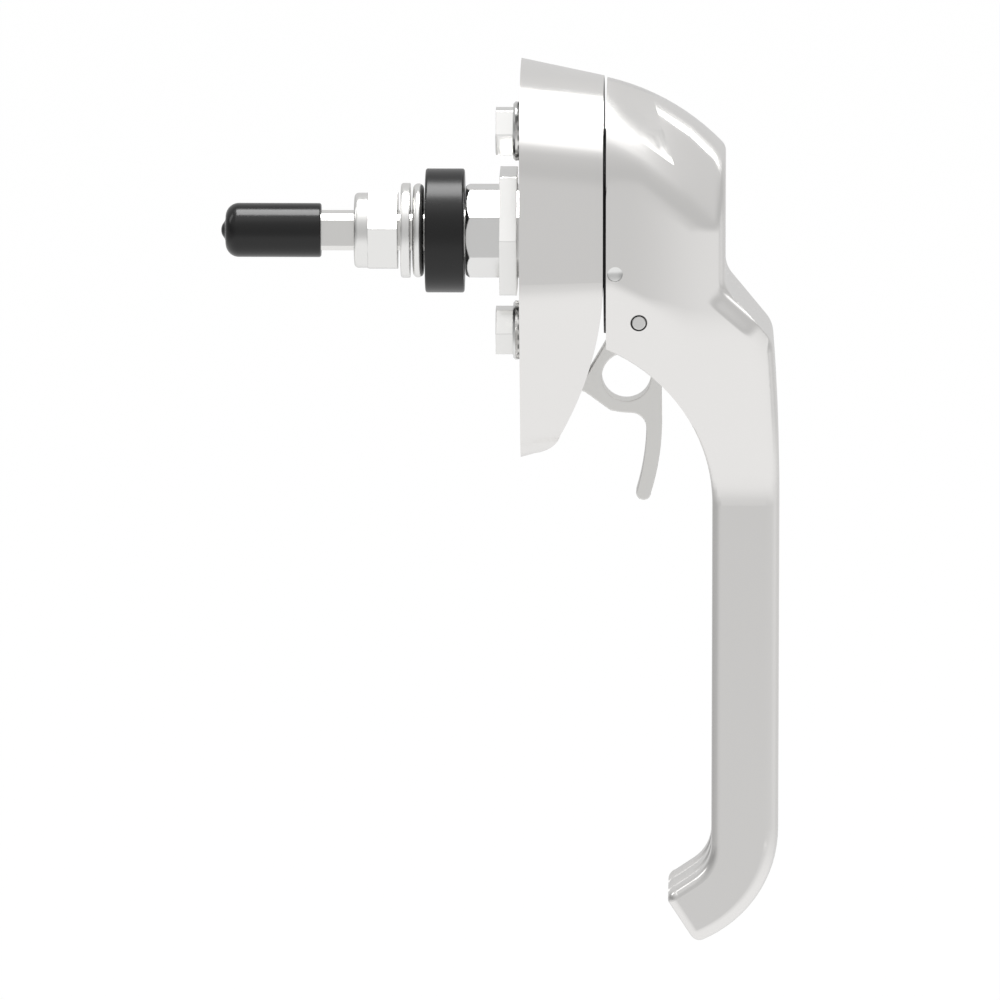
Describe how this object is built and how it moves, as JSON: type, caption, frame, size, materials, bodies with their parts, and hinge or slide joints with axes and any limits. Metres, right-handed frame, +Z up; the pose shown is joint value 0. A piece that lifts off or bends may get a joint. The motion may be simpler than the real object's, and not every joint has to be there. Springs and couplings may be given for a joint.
{
  "type": "locking l-handle",
  "caption": "Cast L-shaped door handle on a drafted base, with a square spindle, bushing and mounting screws behind, and a spring-loaded trigger pierced for a padlock",
  "frame": {"origin": "on the spindle axis, in the plane of the base's rim that lies on the door's outer face", "axes": "+X points out of the door along the spindle axis, +Z up with the grip hanging to -Z in the closed position, +Y to the side that the grip turns to when it opens"},
  "size_m": [0.1249, 0.058, 0.1981],
  "materials": {
    "base_plating": "satin plated zinc casting, soft polished sheen",
    "handle_plating": "satin plated zinc casting, soft polished sheen",
    "bushing_steel": "turned and milled plated steel",
    "fastener_steel": "bright zinc-plated steel",
    "spindle_steel": "plated steel bar with rolled thread on its corners",
    "trigger_steel": "satin plated plate, cut edges",
    "black_ring": "glossy black moulded plastic",
    "black_disc": "matt black fibre and rubber sheet",
    "black_cap": "glossy dipped vinyl",
    "insert_nylon": "nylon",
    "seal_rubber": "matt rubber",
    "spring_steel": "drawn spring wire"
  },
  "bodies": {
    "base": {"base_housing": "base_plating", "octagon_bushing": "bushing_steel", "jam_nut": "fastener_steel", "mounting_screw_upper": "fastener_steel", "mounting_screw_lower": "fastener_steel", "lock_washer_upper": "fastener_steel", "lock_washer_lower": "fastener_steel"},
    "handle": {"handle_casting": "handle_plating", "spindle": "spindle_steel", "spindle_seal": "seal_rubber", "spindle_pin": "fastener_steel", "trigger_pin": "fastener_steel", "friction_disc": "black_disc", "spacer_ring": "black_ring", "rounded_washer": "fastener_steel", "flat_washer": "fastener_steel", "lock_nut": "fastener_steel", "nylon_insert": "insert_nylon", "end_cap": "black_cap", "trigger_spring": "spring_steel"},
    "trigger": {"trigger_lever": "trigger_steel"}
  },
  "joints": [
    {"name": "handle_turn", "type": "hinge", "parent": "base", "child": "handle", "pos_m": [0, 0, 0], "axis": [1, 0, 0], "range_deg": [0, 90]},
    {"name": "trigger_pull", "type": "hinge", "parent": "handle", "child": "trigger", "pos_m": [0.0265, 0, -0.017], "axis": [0, -1, 0], "range_deg": [-4.5, 14], "stiffness_Nm_per_rad": 0.3, "springref_deg": -4.5, "deforming": ["trigger_spring"]}
  ]
}
